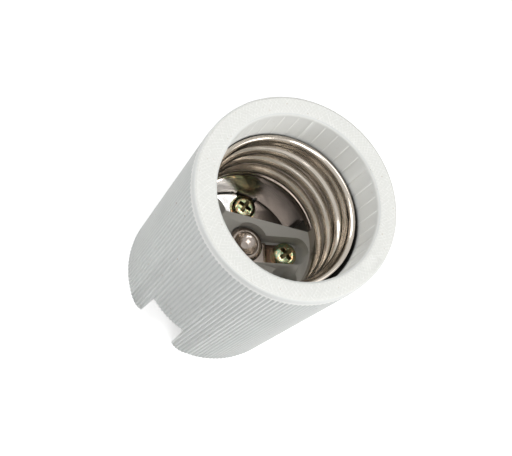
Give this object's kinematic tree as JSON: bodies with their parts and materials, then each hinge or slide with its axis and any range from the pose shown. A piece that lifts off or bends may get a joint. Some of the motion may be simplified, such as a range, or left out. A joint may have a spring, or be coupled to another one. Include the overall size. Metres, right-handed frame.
{
  "type": "lamp holder",
  "caption": "Ribbed white porcelain lamp holder with a rolled screw shell for a large screw cap, a sprung centre contact and two screw terminals in an open wire chamber at the back.",
  "frame": {"origin": "centre of the back end face", "axes": "+Z along the axis out of the mouth, the two wire notches at -X and +X, the two fixing holes on the Y axis"},
  "size_m": [0.052, 0.052, 0.07],
  "materials": {
    "porcelain": "unglazed off-white porcelain, fine cross-hatched grinding on the mouth face",
    "nickel_plate": "nickel-plated sheet, warm grey, lightly brushed",
    "yellow_zinc": "zinc-plated steel with iridescent yellow passivation",
    "brass": "plain brass",
    "zinc_steel": "bright zinc-plated steel"
  },
  "bodies": {
    "holder": {"porcelain_body": "porcelain", "screw_shell": "nickel_plate", "shell_clamp_plate": "nickel_plate", "shell_screw": "yellow_zinc", "shell_screw_washer": "yellow_zinc", "contact_spring": "nickel_plate", "contact_screw": "yellow_zinc", "shell_terminal": "brass", "contact_terminal": "brass", "shell_lock_washer": "zinc_steel", "contact_lock_washer": "zinc_steel", "shell_nut": "zinc_steel", "contact_nut": "zinc_steel"},
    "centre_contact": {"contact_button": "nickel_plate"},
    "shell_wire_washer": {"shell_wire_clamp": "zinc_steel"},
    "shell_wire_screw_body": {"shell_wire_screw": "yellow_zinc"},
    "contact_wire_washer": {"contact_wire_clamp": "zinc_steel"},
    "contact_wire_screw_body": {"contact_wire_screw": "yellow_zinc"}
  },
  "joints": [
    {"name": "contact_press", "type": "slide", "parent": "holder", "child": "centre_contact", "axis": [0, 0, -1], "range_m": [0, 0.0015], "stiffness_N_per_m": 3000, "deforming": ["contact_spring"]},
    {"name": "shell_wire_clamp_lift", "type": "slide", "parent": "holder", "child": "shell_wire_washer", "axis": [0, 0, -1], "range_m": [0, 0.002]},
    {"name": "shell_wire_screw_turn", "type": "hinge", "parent": "shell_wire_washer", "child": "shell_wire_screw_body", "pos_m": [0.0145, -0.0015, 0.0165], "axis": [0, 0, -1], "range_deg": [0, 1028]},
    {"name": "contact_wire_clamp_lift", "type": "slide", "parent": "holder", "child": "contact_wire_washer", "axis": [0, 0, -1], "range_m": [0, 0.002]},
    {"name": "contact_wire_screw_turn", "type": "hinge", "parent": "contact_wire_washer", "child": "contact_wire_screw_body", "pos_m": [-0.0095, 0.0015, 0.0165], "axis": [0, 0, -1], "range_deg": [0, 1028]}
  ],
  "couplings": [
    {"joint": "shell_wire_screw_turn", "follows": "shell_wire_clamp_lift", "rad_per_m": 8976},
    {"joint": "contact_wire_screw_turn", "follows": "contact_wire_clamp_lift", "rad_per_m": 8976}
  ]
}
